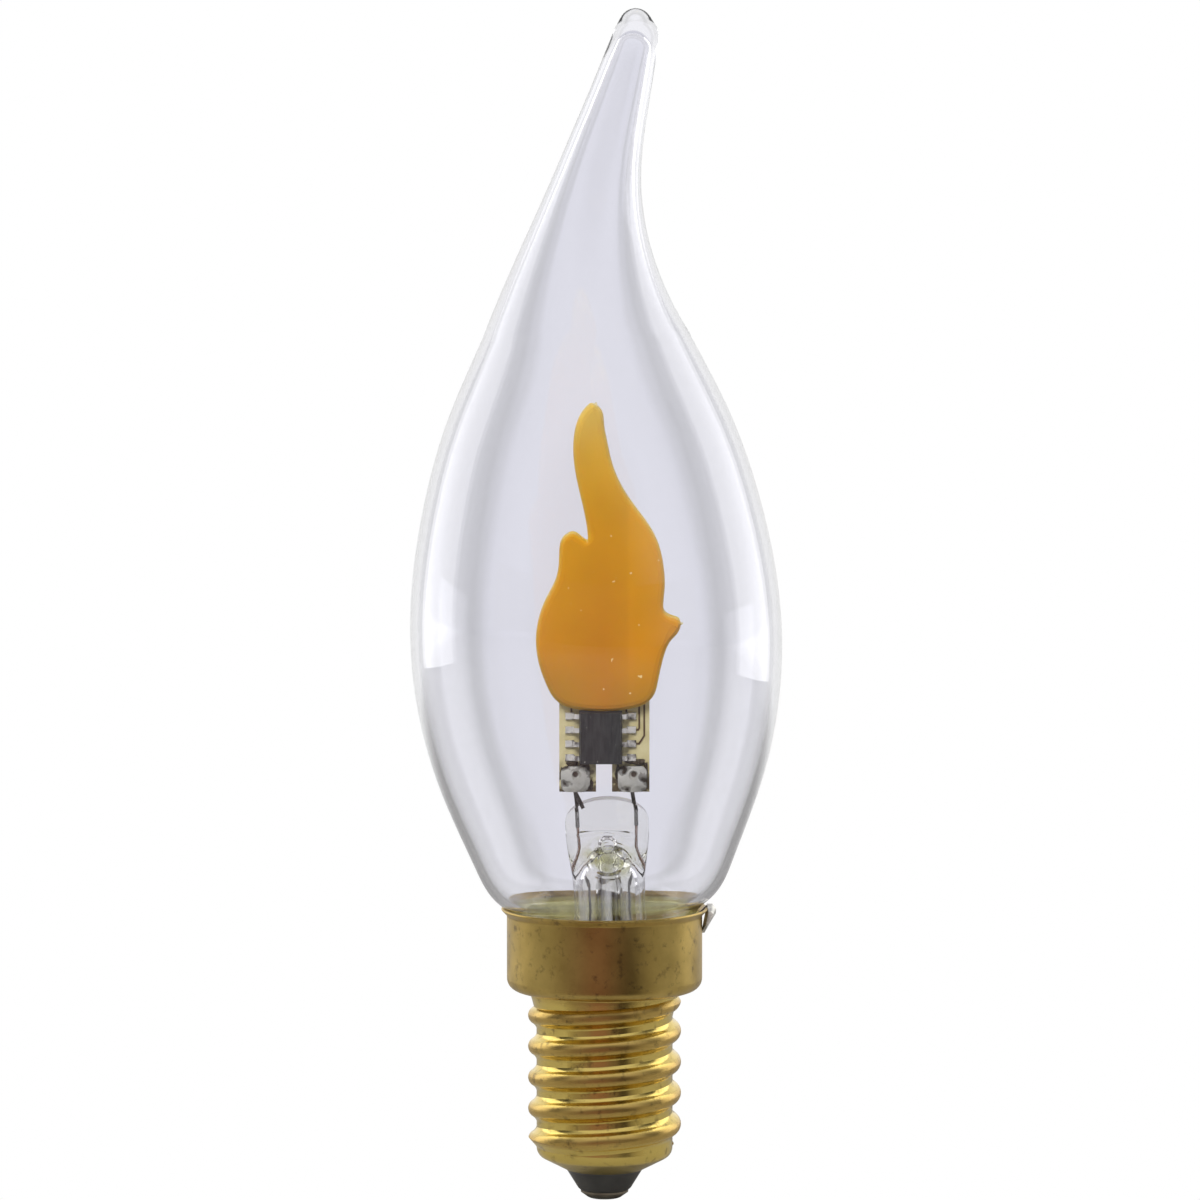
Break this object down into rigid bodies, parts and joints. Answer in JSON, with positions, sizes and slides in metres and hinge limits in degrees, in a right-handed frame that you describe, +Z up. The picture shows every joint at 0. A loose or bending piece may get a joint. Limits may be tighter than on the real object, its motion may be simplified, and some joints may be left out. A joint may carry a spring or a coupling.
{
  "type": "candle bulb",
  "caption": "Clear candle bulb with a bent flame tip, a small brass screw cap and a flame-shaped light board under amber gel on a glass stem.",
  "frame": {"origin": "centre of the flat under the centre contact, on the axis of the cap", "axes": "+Z up the cap's axis to the tip, +X the way the tip bends, -Y the side with the driver chip"},
  "size_m": [0.0335, 0.0334, 0.1071],
  "materials": {
    "cap_brass": "satin, tarnished",
    "contact_brass": "satin",
    "copper": "satin",
    "clear_glass": "clear gloss",
    "black_glass": "semi-gloss",
    "solder": "satin",
    "nickel": "satin",
    "board_white": "matte",
    "amber_gel": "satin",
    "chip_black": "matte",
    "light_chip": "gloss",
    "resistor_coat": "matte",
    "cement_buff": "matte"
  },
  "bodies": {
    "root": {"glass_envelope": "clear_glass", "glass_stem": "clear_glass", "exhaust_tube": "clear_glass", "inner_lead_left": "nickel", "inner_lead_right": "nickel", "dumet_wire_left": "copper", "dumet_wire_right": "copper", "centre_lead": "nickel", "side_lead": "nickel", "contact_lead": "nickel", "fuse_resistor": "resistor_coat", "circuit_board": "board_white", "phosphor_gel_front": "amber_gel", "phosphor_gel_back": "amber_gel", "light_chips_front": "light_chip", "light_chips_back": "light_chip", "copper_tracks": "copper", "driver_chip": "chip_black", "driver_chip_pins": "solder", "driver_chip_solder": "solder", "terminal_solder_left": "solder", "terminal_solder_right": "solder", "rectifier": "chip_black", "rectifier_pins": "solder", "rectifier_solder": "solder", "cap_shell": "cap_brass", "cap_insulator": "black_glass", "centre_contact": "contact_brass", "centre_solder": "solder", "side_solder": "solder", "basing_cement": "cement_buff"}
  },
  "joints": []
}
